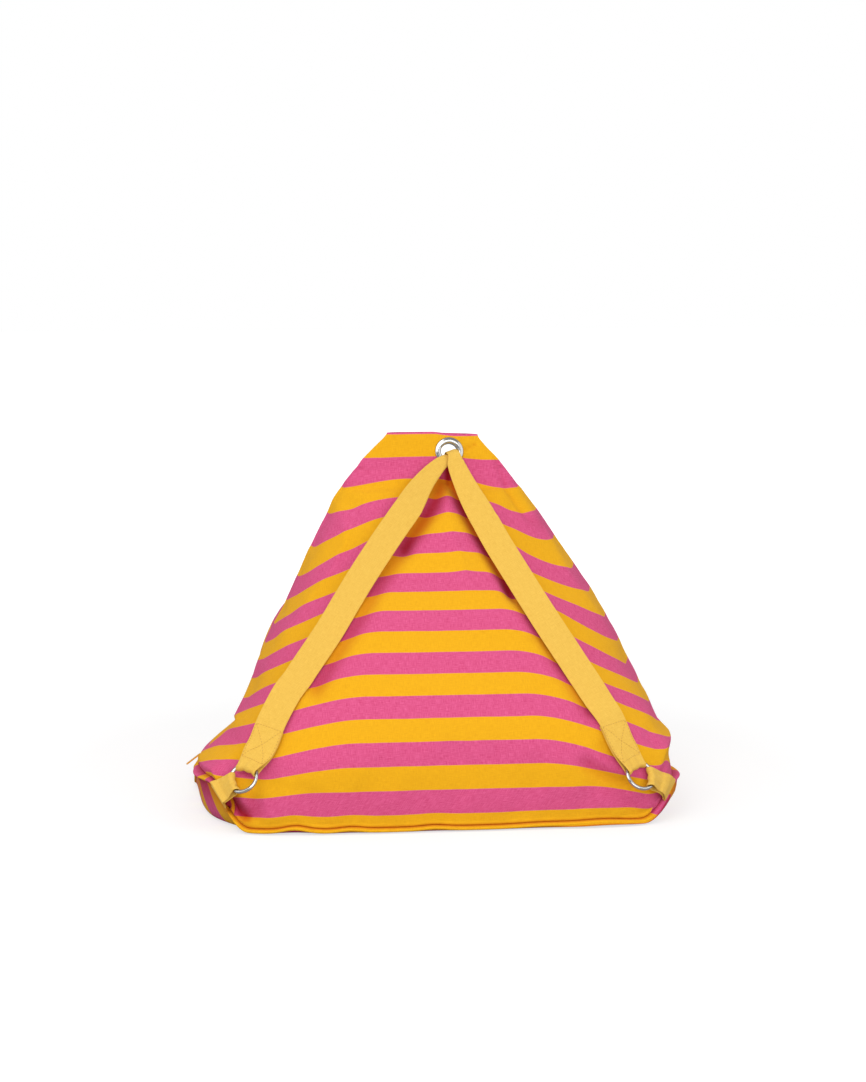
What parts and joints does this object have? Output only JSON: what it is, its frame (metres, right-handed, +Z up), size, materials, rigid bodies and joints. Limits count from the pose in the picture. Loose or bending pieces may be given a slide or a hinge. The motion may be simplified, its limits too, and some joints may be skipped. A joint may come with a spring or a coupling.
{
  "type": "kids pouf with shoulder straps",
  "caption": "Soft filled floor pouf with a sloping striped canvas cover, pinched at the top round an eyelet, and webbing shoulder straps held by rings at the base corners.",
  "frame": {"origin": "on the floor, under the middle of the bounding box", "axes": "+Z up; -Y is the side with the straps; +X is to the right seen from that side"},
  "size_m": [0.642, 0.6, 0.478],
  "materials": {
    "striped_canvas": "matte plain weave, orange and pink stripes",
    "webbing": "matte ribbed webbing, pale yellow",
    "polished_steel": "polished",
    "pull_enamel": "satin orange"
  },
  "bodies": {
    "root": {"cover_body": "striped_canvas", "top_flap": "striped_canvas", "eyelet": "polished_steel", "strap_left": "webbing", "strap_right": "webbing", "ring_left": "polished_steel", "ring_right": "polished_steel", "tab_left": "webbing", "tab_right": "webbing", "zip_slider": "polished_steel", "zip_pull": "pull_enamel"}
  },
  "joints": []
}
